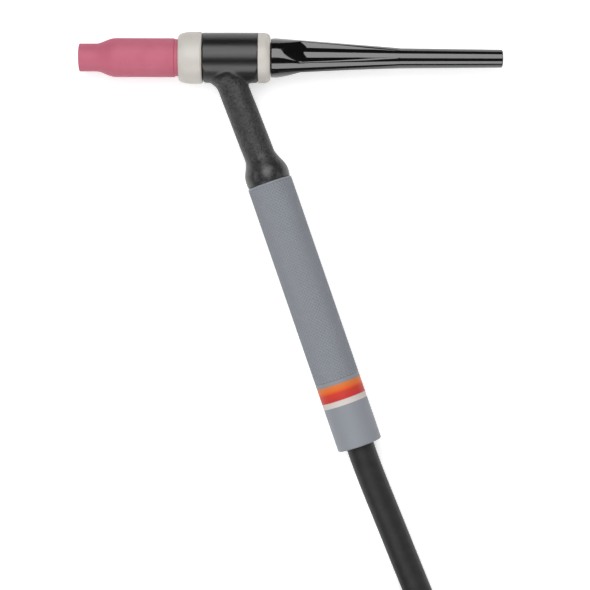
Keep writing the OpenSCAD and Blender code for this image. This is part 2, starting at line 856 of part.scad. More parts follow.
module connector_nut() {
    hex_r = connector_hex_af / 2 / cos(30);
    thread_r = connector_thread_d / 2;
    color("gold")
        on_connector()
            difference() {
                union() {
                    translate([w_hex, 0, 0])
                        rotate([0, 90, 0])
                            cylinder(h = connector_hex_len, r = hex_r, $fn = 6);
                    bar(w_hex, w_front, thread_r);
                }
                bar(w_hex - 1, w_front + 1, nipple_neck_r + 0.1);
            }
}

ceramic_cup();
collet_body();
collet();
tungsten_electrode();
cup_gasket();
head_core();
head_moulding();
rear_insulator();
back_cap();
cap_insert();
cap_o_ring();
neck_tube();
neck_fitting();
cable_nut();
cable_nipple();
cable_ferrule();
insulating_sleeve();
handle();
label_band();
cable_end();
power_strands();
cable_lead();
cable_coil();
cable_tail();
coil_ties();
cable_tip();
connector_ferrule();
connector_nipple();
connector_nut();
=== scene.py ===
import math
import bpy
from mathutils import Matrix, Vector


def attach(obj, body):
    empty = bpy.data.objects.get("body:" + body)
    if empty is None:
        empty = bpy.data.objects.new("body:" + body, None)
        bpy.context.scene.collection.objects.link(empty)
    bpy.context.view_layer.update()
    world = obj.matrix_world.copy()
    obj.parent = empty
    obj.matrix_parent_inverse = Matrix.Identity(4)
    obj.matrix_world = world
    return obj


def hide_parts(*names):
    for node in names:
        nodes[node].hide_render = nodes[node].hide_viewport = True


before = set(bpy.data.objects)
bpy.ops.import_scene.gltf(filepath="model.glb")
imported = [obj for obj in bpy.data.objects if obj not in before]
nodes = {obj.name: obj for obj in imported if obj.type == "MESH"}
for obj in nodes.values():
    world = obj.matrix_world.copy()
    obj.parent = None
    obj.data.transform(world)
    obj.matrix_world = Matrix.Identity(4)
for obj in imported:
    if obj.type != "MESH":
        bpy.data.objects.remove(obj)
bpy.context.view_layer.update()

mm = 0.001
tableZ = -11.9 * mm
sameHeight = 1e-7  # two vertices closer than this, in metres, stand at one height
ringsPerPart = 10  # a ringed tube is cut into parts first, and each part into these rings


# camera, straight above the torch
viewpoint = {
    "centre": (99.44, -108.95),
    "height": 805,
    "roll": 0.17,
    "lens": 106.8,
    "clip": (0.02, 20),
}

centreX, centreY = viewpoint["centre"]
bpy.ops.object.camera_add(
    location=(centreX * mm, centreY * mm, viewpoint["height"] * mm),
    rotation=(0, 0, math.radians(viewpoint["roll"])),
)
camera = bpy.context.object
camera.name = "camera"
camera.data.lens = viewpoint["lens"]
camera.data.clip_start, camera.data.clip_end = viewpoint["clip"]
bpy.context.scene.camera = camera
bpy.context.scene.view_settings.view_transform = "Standard"
print("camera placed")


# small helpers

def deselectAll():
    if bpy.context.object and bpy.context.object.mode != "OBJECT":
        bpy.ops.object.mode_set(mode="OBJECT")
    bpy.ops.object.select_all(action="DESELECT")


def pick(piece):
    deselectAll()
    piece.select_set(True)
    bpy.context.view_layer.objects.active = piece


def editMode(piece, what="VERT"):
    pick(piece)
    bpy.ops.object.mode_set(mode="EDIT")
    bpy.ops.mesh.select_mode(type=what)
    bpy.ops.mesh.select_all(action="DESELECT")


def chooseVerts(piece, test):
    # the flags are set in object mode, where the mesh can be read
    bpy.ops.mesh.select_mode(type="VERT")
    bpy.ops.mesh.select_all(action="DESELECT")
    bpy.ops.object.mode_set(mode="OBJECT")
    for vert in piece.data.vertices:
        vert.select = test(vert.co)
    bpy.ops.object.mode_set(mode="EDIT")


def chooseEdges(piece, test):
    bpy.ops.mesh.select_mode(type="EDGE")
    bpy.ops.mesh.select_all(action="DESELECT")
    bpy.ops.object.mode_set(mode="OBJECT")
    for edge in piece.data.edges:
        edge.select = test(edge)
    bpy.ops.object.mode_set(mode="EDIT")


def chooseFaces(piece, test):
    bpy.ops.mesh.select_mode(type="FACE")
    bpy.ops.mesh.select_all(action="DESELECT")
    bpy.ops.object.mode_set(mode="OBJECT")
    for face in piece.data.polygons:
        face.select = test(face)
    bpy.ops.object.mode_set(mode="EDIT")


def chooseRim(piece, height):
    # the open edge at a height, ready to be extruded
    chooseVerts(piece, lambda co: abs(co.z - height) < sameHeight)
    bpy.ops.mesh.select_mode(type="EDGE")


def applyAll(piece):
    pick(piece)
    for modifier in list(piece.modifiers):
        bpy.ops.object.modifier_apply(modifier=modifier.name)


def settle(piece, place):
    # moves the finished mesh to its place and leaves the object at the origin
    piece.matrix_world = place
    pick(piece)
    bpy.ops.object.transform_apply(location=True, rotation=True, scale=True)


def smooth(piece, angle=30):
    pick(piece)
    bpy.ops.object.shade_smooth_by_angle(angle=math.radians(angle))


def finishPiece(piece, material, body, slot, *replaced):
    piece.data.materials.clear()
    piece.data.materials.append(material)
    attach(piece, body)
    if replaced:
        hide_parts(*replaced)
    print("made", piece.name)


def ramp01(value, low, high):
    return min(1, max(0, (value - low) / (high - low)))


def between(stations, along):
    for (low, lowValue), (high, highValue) in zip(stations, stations[1:]):
        if along <= high:
            return lowValue + (highValue - lowValue) * (along - low) / (high - low)
    return stations[-1][1]


def growRing(radius, height, fromRadius):
    # extrudes the selected rim to a new radius and height
    factor = radius / fromRadius
    bpy.ops.mesh.extrude_region_move()
    bpy.ops.transform.resize(value=(factor, factor, 1), center_override=(0, 0, 0))
    if height:
        bpy.ops.transform.translate(value=(0, 0, height * mm))


def bridgeBore(piece, radius, slack=0.1):
    # joins the open edges at the two ends of a bore
    chooseVerts(piece, lambda co: math.hypot(co.x, co.y) < (radius + slack) * mm)
    bpy.ops.mesh.select_mode(type="EDGE")
    bpy.ops.mesh.bridge_edge_loops()
    bpy.ops.mesh.select_all(action="SELECT")


def openTube(pieceName, around, radius, start, length):
    # a tube without ends along +Z, left in edit mode with nothing chosen
    deselectAll()
    bpy.ops.mesh.primitive_cylinder_add(
        vertices=around, radius=radius * mm, depth=length * mm, end_fill_type="NOTHING",
        location=(0, 0, (start + length / 2) * mm),
    )
    piece = bpy.context.object
    piece.name = pieceName
    piece.data.name = pieceName
    bpy.ops.object.transform_apply(location=True, rotation=True, scale=True)
    editMode(piece, "EDGE")
    return piece


def cutAcross(piece, cuts):
    # rings round a tube: each of its lengthwise edges is divided
    def lengthwise(edge):
        a, b = (piece.data.vertices[v].co for v in edge.vertices)
        return abs(a.z - b.z) > mm / 2

    chooseEdges(piece, lengthwise)
    bpy.ops.mesh.subdivide(number_cuts=cuts)


def makeRings(pieceName, around, parts):
    # a tube with a ring at each millimetre, whose vertices are then placed by their ring's
    # number; one cut makes a hundred rings at most, so it is cut twice
    piece = openTube(pieceName, around, 1, 0, parts * ringsPerPart)
    cutAcross(piece, parts - 1)
    cutAcross(piece, ringsPerPart - 1)
    bpy.ops.object.mode_set(mode="OBJECT")
    return piece


# materials: colours are given as they look on a screen, from 0 to 255

def paint(red, green, blue):
    def linear(value):
        value /= 255
        return value / 12.92 if value <= 0.04045 else ((value + 0.055) / 1.055) ** 2.4
    return (linear(red), linear(green), linear(blue), 1)


def newMaterial(name, colour, roughness, metallic=0.0):
    material = bpy.data.materials.new(name)
    material.use_nodes = True
    shader = material.node_tree.nodes["Principled BSDF"]
    shader.inputs["Base Color"].default_value = colour
    shader.inputs["Roughness"].default_value = roughness
    shader.inputs["Metallic"].default_value = metallic
    return material, shader


def addNode(material, kind, **values):
    node = material.node_tree.nodes.new(kind)
    for key, value in values.items():
        setattr(node, key, value)
    return node


def link(material, source, target):
    material.node_tree.links.new(source, target)


def noiseOn(material, scale, detail=3.0, stretch=(1, 1, 1)):
    # noise on object coordinates, scale in cycles for each metre
    place = addNode(material, "ShaderNodeTexCoord")
    mapping = addNode(material, "ShaderNodeMapping")
    mapping.inputs["Scale"].default_value = stretch
    noise = addNode(material, "ShaderNodeTexNoise")
    noise.inputs["Scale"].default_value = scale
    noise.inputs["Detail"].default_value = detail
    link(material, place.outputs["Object"], mapping.inputs["Vector"])
    link(material, mapping.outputs["Vector"], noise.inputs["Vector"])
    return noise.outputs["Fac"]


def blendColour(material, shader, factor, low, high, start=0.35, end=0.65):
    ramp = addNode(material, "ShaderNodeValToRGB")
    ramp.color_ramp.elements[0].position = start
    ramp.color_ramp.elements[0].color = low
    ramp.color_ramp.elements[1].position = end
    ramp.color_ramp.elements[1].color = high
    link(material, factor, ramp.inputs["Fac"])
    link(material, ramp.outputs["Color"], shader.inputs["Base Color"])
    return ramp


def varyRoughness(material, shader, factor, low, high):
    # nearly all of the noise lies between 0.3 and 0.7
    spread = addNode(material, "ShaderNodeMapRange")
    spread.inputs["From Min"].default_value = 0.3
    spread.inputs["From Max"].default_value = 0.7
    spread.inputs["To Min"].default_value = low
    spread.inputs["To Max"].default_value = high
    link(material, factor, spread.inputs["Value"])
    link(material, spread.outputs["Result"], shader.inputs["Roughness"])


def addBump(material, shader, height, strength, distance):
    bump = addNode(material, "ShaderNodeBump")
    bump.inputs["Strength"].default_value = strength
    bump.inputs["Distance"].default_value = distance
    link(material, height, bump.inputs["Height"])
    link(material, bump.outputs["Normal"], shader.inputs["Normal"])


def blendAlong(material, axis, start, end):
    # 0 to 1 between two places on an object axis
    place = addNode(material, "ShaderNodeTexCoord")
    parts = addNode(material, "ShaderNodeSeparateXYZ")
    spread = addNode(material, "ShaderNodeMapRange")
    spread.inputs["From Min"].default_value = start
    spread.inputs["From Max"].default_value = end
    link(material, place.outputs["Object"], parts.inputs["Vector"])
    link(material, parts.outputs[axis], spread.inputs["Value"])
    return spread.outputs["Result"]


def combine(material, first, second, kind="MULTIPLY"):
    # works out one socket with another, or with a number
    maths = addNode(material, "ShaderNodeMath", operation=kind)
    link(material, first, maths.inputs[0])
    if isinstance(second, (int, float)):
        maths.inputs[1].default_value = second
    else:
        link(material, second, maths.inputs[1])
    return maths.outputs["Value"]


def plainFinish(name, look):
    # noises are scale, detail and stretch, and a bump is strength and depth
    material, shader = newMaterial(
        name, paint(*look["colour"]), look["roughness"], look.get("metallic", 0)
    )
    if "tones" in look:
        low, high = look["tones"]
        blendColour(
            material, shader, noiseOn(material, *look["toneNoise"]), paint(*low), paint(*high)
        )
    if "gloss" in look:
        varyRoughness(material, shader, noiseOn(material, *look["glossNoise"]), *look["gloss"])
    if "bump" in look:
        addBump(material, shader, noiseOn(material, *look["bumpNoise"]), *look["bump"])
    for socket, value in look.get("sockets", {}).items():
        shader.inputs[socket].default_value = value
    return material


# pink alumina of the cup, fine-grained with a few dark specks
aluminaLook = {
    "colour": (200, 112, 132),
    "roughness": 0.6,
    "shine": 0.35,
    "tones": ((194, 100, 121), (200, 107, 128)),
    "toneNoise": (90, 6),
    "speck": (150, 70, 88),
    "speckNoise": (1300, 1),
    "speckRange": (0.77, 0.8),
    "bumpNoise": (2600, 2),
    "bump": (0.2, 0.0001),
}

aluminaPink, shader = newMaterial(
    "aluminaPink", paint(*aluminaLook["colour"]), aluminaLook["roughness"]
)
shader.inputs["Specular IOR Level"].default_value = aluminaLook["shine"]
low, high = aluminaLook["tones"]
pink = blendColour(
    aluminaPink, shader, noiseOn(aluminaPink, *aluminaLook["toneNoise"]), paint(*low), paint(*high)
)
specks = addNode(aluminaPink, "ShaderNodeValToRGB")
for step, position, share in zip(specks.color_ramp.elements, aluminaLook["speckRange"], (0, 1)):
    step.position = position
    step.color = (share, share, share, 1)
link(aluminaPink, noiseOn(aluminaPink, *aluminaLook["speckNoise"]), specks.inputs["Fac"])
fleck = addNode(aluminaPink, "ShaderNodeMix", data_type="RGBA")
fleck.inputs["B"].default_value = paint(*aluminaLook["speck"])
link(aluminaPink, specks.outputs["Color"], fleck.inputs["Factor"])
link(aluminaPink, pink.outputs["Color"], fleck.inputs["A"])
link(aluminaPink, fleck.outputs["Result"], shader.inputs["Base Color"])
grain = noiseOn(aluminaPink, *aluminaLook["bumpNoise"])
addBump(aluminaPink, shader, grain, *aluminaLook["bump"])

# black rubber: the head is smooth with faint turned lines, the neck has a coarse pebble that
# starts at the head and ends before the bulge
rubberLook = {
    "colour": (30, 30, 32),
    "shine": 0.6,
    "neckStart": (-0.0085, -0.0115),
    "neckEnd": (-0.052, -0.042),
    "tones": ((5, 5, 6), (60, 60, 62)),
    "toneRange": (0.38, 0.72),
    "grainNoise": (1150, 2),
    "grainTone": 0.7,
    "mottleNoise": (300, 4),
    "mottleTone": 0.4,
    "roughness": 0.25,
    "neckRoughness": 0.14,
    "lineNoise": (900, 3, (0.04, 1, 1)),
    "lineRoughness": 0.16,
    "bump": (1.0, 0.00045),
}

headRubber, shader = newMaterial(
    "headRubber", paint(*rubberLook["colour"]), rubberLook["roughness"]
)
shader.inputs["Specular IOR Level"].default_value = rubberLook["shine"]
onNeck = blendAlong(headRubber, "Y", *rubberLook["neckStart"])
pebbled = combine(headRubber, onNeck, blendAlong(headRubber, "Y", *rubberLook["neckEnd"]))
grain = noiseOn(headRubber, *rubberLook["grainNoise"])
mottle = noiseOn(headRubber, *rubberLook["mottleNoise"])
mottle = combine(headRubber, mottle, rubberLook["mottleTone"])
toned = combine(headRubber, combine(headRubber, grain, onNeck), rubberLook["grainTone"])
toned = combine(headRubber, toned, mottle, "ADD")
low, high = rubberLook["tones"]
blendColour(headRubber, shader, toned, paint(*low), paint(*high), *rubberLook["toneRange"])
lines = noiseOn(headRubber, *rubberLook["lineNoise"])
lines = combine(headRubber, lines, rubberLook["lineRoughness"])
rough = combine(headRubber, pebbled, rubberLook["neckRoughness"])
rough = combine(headRubber, rough, lines, "ADD")
rough = combine(headRubber, rough, rubberLook["roughness"], "ADD")
link(headRubber, rough, shader.inputs["Roughness"])
addBump(headRubber, shader, combine(headRubber, grain, pebbled), *rubberLook["bump"])

# off-white fluoroplastic of the gasket and the rear ring
ringWhite = plainFinish("ringWhite", {
    "colour": (207, 202, 195),
    "roughness": 0.42,
    "tones": ((203, 197, 189), (212, 208, 202)),
    "toneNoise": (90, 4),
    "bumpNoise": (900, 2),
    "bump": (0.08, 0.0001),
})

# black phenolic of the back cap, polished by the mould
capBlack = plainFinish("capBlack", {
    "colour": (6, 6, 7),
    "roughness": 0.1,
    "tones": ((3, 3, 4), (9, 8, 9)),
    "toneNoise": (300, 5),
    "gloss": (0.07, 0.14),
    "glossNoise": (260, 4),
    "sockets": {"IOR": 1.62, "Coat Weight": 0.45, "Coat Roughness": 0.05},
})

# black rubber of the cable
cableBlack = plainFinish("cableBlack", {
    "colour": (34, 34, 36),
    "roughness": 0.55,
    "tones": ((17, 17, 19), (29, 29, 31)),
    "toneNoise": (240, 5),
    "bumpNoise": (1800, 3),
    "bump": (0.25, 0.0002),
})

# metals, three of them with fine marks along X from turning or drawing
brass = plainFinish("brass", {
    "colour": (196, 158, 88),
    "roughness": 0.3,
    "metallic": 1,
    "gloss": (0.22, 0.4),
    "glossNoise": (700, 3, (0.1, 1, 1)),
})
copper = plainFinish("copper", {
    "colour": (190, 120, 88),
    "roughness": 0.32,
    "metallic": 1,
    "gloss": (0.24, 0.42),
    "glossNoise": (700, 3, (0.1, 1, 1)),
})
tungsten = plainFinish("tungsten", {
    "colour": (150, 150, 152),
    "roughness": 0.28,
    "metallic": 1,
    "gloss": (0.2, 0.38),
    "glossNoise": (900, 2, (0.2, 1, 1)),
})
crimpSteel = plainFinish("crimpSteel", {
    "colour": (186, 186, 188),
    "roughness": 0.34,
    "metallic": 1,
    "gloss": (0.26, 0.44),
    "glossNoise": (800, 3),
})

# soft rubber of the O-ring and the sleeve, and the woven ties of the coil
ringRubber = plainFinish("ringRubber", {
    "colour": (30, 30, 31),
    "roughness": 0.6,
    "gloss": (0.52, 0.68),
    "glossNoise": (600, 3),
})
tieFabric = plainFinish("tieFabric", {
    "colour": (34, 34, 37),
    "roughness": 0.85,
    "tones": ((26, 26, 28), (46, 46, 50)),
    "toneNoise": (900, 4),
    "bumpNoise": (2500, 2),
    "bump": (0.6, 0.0004),
})
print("materials ready")


# connector: a hexagon with turned corners and a cut thread, made upright and laid along -X
nutShape = {
    "place": (-19.065, -453.435, -2.4),
    "around": 96,
    "flat": 9.5,
    "hexLength": 11,
    "corner": 9.2,
    "cornerRise": 1.73,
    "cornerRows": 12,
    "rowStep": 0.1,
    "parts": 12,
    "thread": 7.9375,
    "pitch": 1.411,
    "depth": 0.86,
    "crest": 0.15,
    "relief": 1.2,
    "leadIn": 0.8,
    "length": 25,
    "bore": 3.6,
}


def hexRadius(along, angle):
    # a flat's distance, less the cone that turns the corners off at each end
    side = math.pi / 3
    off = angle - side * round(angle / side)
    fromEnd = min(along, nutShape["hexLength"] - along)
    cone = nutShape["corner"] + nutShape["cornerRise"] * fromEnd
    return min(nutShape["flat"] / math.cos(off), cone)


def threadRadius(along, angle):
    # crests and roots climb one pitch in a turn
    root = nutShape["thread"] - nutShape["depth"]
    past = along - nutShape["hexLength"] - nutShape["relief"]
    if past <= 0:
        return root
    turnShare = (along / nutShape["pitch"] - angle / (2 * math.pi)) % 1
    down = ramp01(abs(2 * turnShare - 1), nutShape["crest"], 1 - nutShape["crest"])
    lead = ramp01(along, nutShape["length"] - nutShape["leadIn"], nutShape["length"])
    return min(nutShape["thread"] - nutShape["depth"] * max(down, lead), root + past)


def makeConnectorNut():
    # rings stand close at the hexagon's two turned ends and evenly along the thread
    hexLength, length = nutShape["hexLength"], nutShape["length"]
    turned = [row * nutShape["rowStep"] for row in range(nutShape["cornerRows"] + 1)]
    hexRows = turned + [hexLength - along for along in reversed(turned)]
    threadStart = hexLength + nutShape["relief"]
    threadRows = nutShape["parts"] * ringsPerPart - len(hexRows) - 1
    cut = [threadStart + (length - threadStart) * row / threadRows for row in range(threadRows + 1)]
    rows = hexRows + [hexLength] + cut
    piece = makeRings("connectorNut", nutShape["around"], nutShape["parts"])
    for vert in piece.data.vertices:
        row = round(vert.co.z / mm)
        angle = math.atan2(vert.co.y, vert.co.x)
        radiusAt = hexRadius if row < len(hexRows) else threadRadius
        radius = radiusAt(rows[row], angle) * mm
        vert.co = (radius * math.cos(angle), radius * math.sin(angle), rows[row] * mm)
    bpy.ops.object.mode_set(mode="EDIT")
    for end, rim in [(0, hexRadius(0, 0)), (length, threadRadius(length, 0))]:
        chooseRim(piece, end * mm)
        growRing(nutShape["bore"], 0, rim)
    bridgeBore(piece, nutShape["bore"])
    bpy.ops.mesh.normals_make_consistent(inside=False)
    smooth(piece, 25)
    lay = Matrix.Rotation(math.radians(-90), 4, "Y")
    settle(piece, Matrix.Translation(Vector(nutShape["place"]) * mm) @ lay)
    return piece


connectorNut = makeConnectorNut()
finishPiece(connectorNut, brass, "connector", "brass", "connector_nut")


# the power cable: it leaves the handle, runs out of view and lies in a coil
cable = {
    "diameter": 12.9,
    "exit": (129.54, -177.85, -1.45),
    "route": [
        (127, -170.5, -1.4), (131.9, -184.6, -1.5), (137, -197.7, -2.5), (143.3, -213.1, -4.1),
        (150.6, -231.1, -5.2), (158.4, -250.2, -5.4), (166.1, -269.2, -5), (173.2, -286.8, -3.95),
        (179.7, -302.9, -3.95),
    ],
    "turns": 7,
    "middle": 154,
    "gap": 0.5,
    "ease": 0.05,
    "climbSpan": 180,
    "pointsPerTurn": 24,
    "seam": 0.1,
    "tail": [(8, 0), (20, 0.16), (32, 0.5), (44, 0.84), (56, 1), (70, 1)],
    "tailHeight": -2.4,
    "tip": 21,
    "bevelSteps": 6,
    "curveSteps": 4,
}


def coilPoints():
    # the loops wind inwards, climb one layer in half a turn, and wind outwards above;
    # the last one ends in the direction of -X
    step = cable["diameter"] + cable["gap"]
    start = Vector(cable["route"][-1])
    heading = (start - Vector(cable["route"][-2])).normalized()
    inward = Vector((heading.y, -heading.x, 0))
    startAngle = math.degrees(math.atan2(-inward.y, -inward.x))
    sweep = 360 * cable["turns"] + startAngle + 90
    inner = cable["middle"] / 2 - step * sweep / (4 * 360)

    def radiusAt(angle):
        turnsOff = (angle - sweep / 2) / 360
        return inner + step * (math.hypot(turnsOff, cable["ease"]) - cable["ease"])

    def climbAt(angle):
        span = cable["climbSpan"]
        share = ramp01(angle - sweep / 2, -span / 2, span / 2)
        return step * (1 - math.cos(math.pi * share)) / 2

    centre = start + cable["diameter"] * heading + radiusAt(0) * inward
    count = round(sweep * cable["pointsPerTurn"] / 360)
    points = []
    for index in range(count + 1):
        angle = sweep * index / count
        turn = math.radians(startAngle - angle)
        offset = Vector((math.cos(turn), math.sin(turn), 0)) * radiusAt(angle)
        points.append(centre + offset + Vector((0, 0, climbAt(angle))))
    points.append(points[-1] + Vector((-cable["diameter"], 0, 0)))
    return points


def makeCable():
    # one round cord through all the points, and their length
    coil = coilPoints()
    end = coil[-1]
    fall = end.z - cable["tailHeight"]
    tail = [
        end + Vector((-cable["seam"] - away, 0, -share * fall)) for away, share in cable["tail"]
    ]
    tail.append(tail[-1] + Vector((-cable["tip"], 0, 0)))
    points = [Vector(p) for p in cable["route"]] + coil + tail
    line = bpy.data.curves.new("powerCable", "CURVE")
    line.dimensions = "3D"
    line.bevel_depth = cable["diameter"] / 2 * mm
    line.bevel_resolution = cable["bevelSteps"]
    line.resolution_u = cable["curveSteps"]
    line.use_fill_caps = True
    spline = line.splines.new("BEZIER")
    spline.bezier_points.add(len(points) - 1)
    for bezier, point in zip(spline.bezier_points, points):
        bezier.co = point * mm
        bezier.handle_left_type = bezier.handle_right_type = "AUTO"
    piece = bpy.data.objects.new("powerCable", line)
    bpy.context.collection.objects.link(piece)
    length = sum((b - a).length for a, b in zip(points, points[1:])) * mm
    return piece, length


powerCable, cableLength = makeCable()
print("cable length", round(cableLength, 3))
finishPiece(
    powerCable, cableBlack, "root", "cable_rubber",
    "cable_lead", "cable_coil", "cable_tail", "cable_tip",
)


# where the neck and the handle lie: the neck's place on the head, its reach to the bend, its
# angle and the handle's, the handle's start behind the bend, and the torch's roll on the table
handleFrame = {
    "neckOffset": 65.4,
    "reach": 54.3,
    "neckAngle": 21.4,
    "angle": 19.2,
    "start": 7.2,
    "lay": 0.467112,
}


def handlePlace():
    # turns a piece made along +Z, from the handle's front end, onto the handle
    neck = math.radians(handleFrame["neckAngle"])
    reach = handleFrame["reach"]
    bend = Vector((handleFrame["neckOffset"] + reach * math.sin(neck), -reach * math.cos(neck), 0))
    lay = Matrix.Rotation(math.radians(handleFrame["lay"]), 4, "X")
    turn = Matrix.Rotation(math.radians(handleFrame["angle"] - 90), 4, "Z")
    stand = Matrix.Rotation(math.radians(90), 4, "Y")
    along = Matrix.Translation((0, 0, handleFrame["start"] * mm))
    return lay @ Matrix.Translation(bend * mm) @ turn @ stand @ along


handleAt = handlePlace()


def handleSpace(material):
    # object coordinates seen from the handle: Z runs along its axis from the front end
    place = addNode(material, "ShaderNodeTexCoord")
    mapping = addNode(material, "ShaderNodeMapping")
    inverse = handleAt.inverted()
    mapping.inputs["Location"].default_value = inverse.translation
    mapping.inputs["Rotation"].default_value = inverse.to_euler()
    link(material, place.outputs["Object"], mapping.inputs["Vector"])
    return mapping.outputs["Vector"]


# the label's bands, by distance along the handle from its front end; the last five are where
# one colour runs softly into the next, as shares of the label or of the way to a band
labelBands = {
    "from": 96.3,
    "red": 100.5,
    "white": 104.6,
    "to": 107.2,
    "greyEnd": 0.05,
    "orangeStart": 0.1,
    "beforeRed": 0.8,
    "afterRed": 1.15,
    "whiteEdge": 0.02,
}

labelPrint, shader = newMaterial("labelPrint", paint(214, 206, 200), 0.45)
shader.inputs["Specular IOR Level"].default_value = 0.25
parts = addNode(labelPrint, "ShaderNodeSeparateXYZ")
link(labelPrint, handleSpace(labelPrint), parts.inputs["Vector"])
spread = addNode(labelPrint, "ShaderNodeMapRange")
spread.inputs["From Min"].default_value = labelBands["from"] * mm
spread.inputs["From Max"].default_value = labelBands["to"] * mm
link(labelPrint, parts.outputs["Z"], spread.inputs["Value"])
bands = addNode(labelPrint, "ShaderNodeValToRGB")
ramp = bands.color_ramp
ramp.elements[0].position = 0
ramp.elements[0].color = paint(142, 146, 153)
ramp.elements[1].position = 1
ramp.elements[1].color = paint(216, 208, 202)
width = labelBands["to"] - labelBands["from"]
redAt = (labelBands["red"] - labelBands["from"]) / width
whiteAt = (labelBands["white"] - labelBands["from"]) / width
for position, colour in [
    (labelBands["greyEnd"], paint(142, 142, 145)),
    (labelBands["orangeStart"], paint(214, 128, 72)),
    (redAt * labelBands["beforeRed"], paint(232, 106, 44)),
    (redAt * labelBands["afterRed"], paint(208, 64, 46)),
    (whiteAt - labelBands["whiteEdge"], paint(198, 56, 58)),
    (whiteAt + labelBands["whiteEdge"], paint(214, 206, 200)),
]:
    ramp.elements.new(position).color = colour
link(labelPrint, spread.outputs["Result"], bands.inputs["Fac"])
link(labelPrint, bands.outputs["Color"], shader.inputs["Base Color"])
print("label ready")


# head and neck: one soft-edged rubber moulding, relaxed where the neck leaves the head, by
# distance from the head's axis, and where it bends into the bulge, by distance from the bend
moulding = {
    "voxel": 0.36,
    "weld": 0.002,
    "rootStart": (5, 9),
    "rootEnd": (17, 21),
    "bendStart": (-12, -7),
    "bendEnd": (2, 5),
    "leastWeight": 0.01,
    "relax": 0.5,
    "rounds": 60,
}


def copyNode(name, pieceName):
    piece = bpy.data.objects.new(pieceName, nodes[name].data.copy())
    bpy.context.collection.objects.link(piece)
    editMode(piece)
    bpy.ops.mesh.select_all(action="SELECT")
    bpy.ops.mesh.remove_doubles(threshold=moulding["weld"] * mm)
    bpy.ops.object.mode_set(mode="OBJECT")
    return piece


def makeMoulding():
    piece = copyNode("head_moulding", "headMoulding")
    remesh = piece.modifiers.new("even", "REMESH")
    remesh.mode = "VOXEL"
    remesh.voxel_size = moulding["voxel"] * mm
    remesh.use_smooth_shade = True
    applyAll(piece)

    # the rims keep their edges
    soft = piece.vertex_groups.new(name="soft")
    lay = Matrix.Rotation(math.radians(-handleFrame["lay"]), 4, "X")
    neck = math.radians(handleFrame["neckAngle"])
    neckAxis = Vector((math.sin(neck), -math.cos(neck), 0))
    neckFoot = Vector((handleFrame["neckOffset"], 0, 0))
    bendStart = [handleFrame["reach"] + off for off in moulding["bendStart"]]
    bendEnd = [handleFrame["reach"] + off for off in moulding["bendEnd"]]
    for vert in piece.data.vertices:
        spot = lay @ (vert.co / mm)
        along = (spot - neckFoot).dot(neckAxis)
        atRoot = ramp01(-spot.y, *moulding["rootStart"])
        atRoot *= 1 - ramp01(-spot.y, *moulding["rootEnd"])
        atBend = ramp01(along, *bendStart) * (1 - ramp01(along, *bendEnd))
        weight = max(atRoot, atBend)
        if weight > moulding["leastWeight"]:
            soft.add([vert.index], weight, "REPLACE")
    relax = piece.modifiers.new("relax", "SMOOTH")
    relax.factor = moulding["relax"]
    relax.iterations = moulding["rounds"]
    relax.vertex_group = "soft"
    applyAll(piece)
    piece.vertex_groups.clear()
    smooth(piece, 60)
    return piece


headMoulding = makeMoulding()
finishPiece(headMoulding, headRubber, "root", "head_rubber", "head_moulding")


# back cap: a turned cone whose flutes start at a flat ramp and run out into the stem.
# Outline and core are (distance, radius) from the mouth; the hollow is a flute's own radius,
# its foot is where the ramp ends, and the spans are in degrees
capShape = {
    "start": 88.1,
    "around": 180,
    "parts": 15,
    "outline": [(0, 8.6), (0.4, 9), (1.8, 9.1), (3.6, 9), (56.4, 5), (58, 4.85), (59.4, 4.7)],
    "core": [(0, 5.9), (17.4, 5.9), (59.4, 4.7)],
    "flutes": 3,
    "turn": 20,
    "hollow": 12.8,
    "foot": 17.4,
    "footRadius": 5.2,
    "fall": 0.019,
    "ramp": 0.298,
    "leastSpan": 4,
    "innerShare": 0.8,
    "filletSpan": 5,
    "filletShare": 0.15,
    "filletBlend": 0.3,
    "roundSpan": 4.5,
    "roundBlend": 0.8,
    "roundShare": 0.9,
    "leastDepth": 0.01,
    "columns": (0, 0.2, 14 / 30, 0.6, 0.8, 1),
    "stemEnd": (106, 4.2),
    "chamfer": 0.4,
    "socket": (3.95, 6),
    "bore": (1.9, 101.9),
}


def softMax(a, b, blend):
    near = max(blend - abs(a - b), 0) / blend
    return max(a, b) + near * near * blend / 4


def fluteSpan(radius, centre):
    # half the angle a hollow takes at this radius
    hollow = capShape["hollow"]
    share = (radius ** 2 + centre ** 2 - hollow ** 2) / (2 * radius * centre)
    return math.degrees(math.acos(min(1, max(-1, share))))


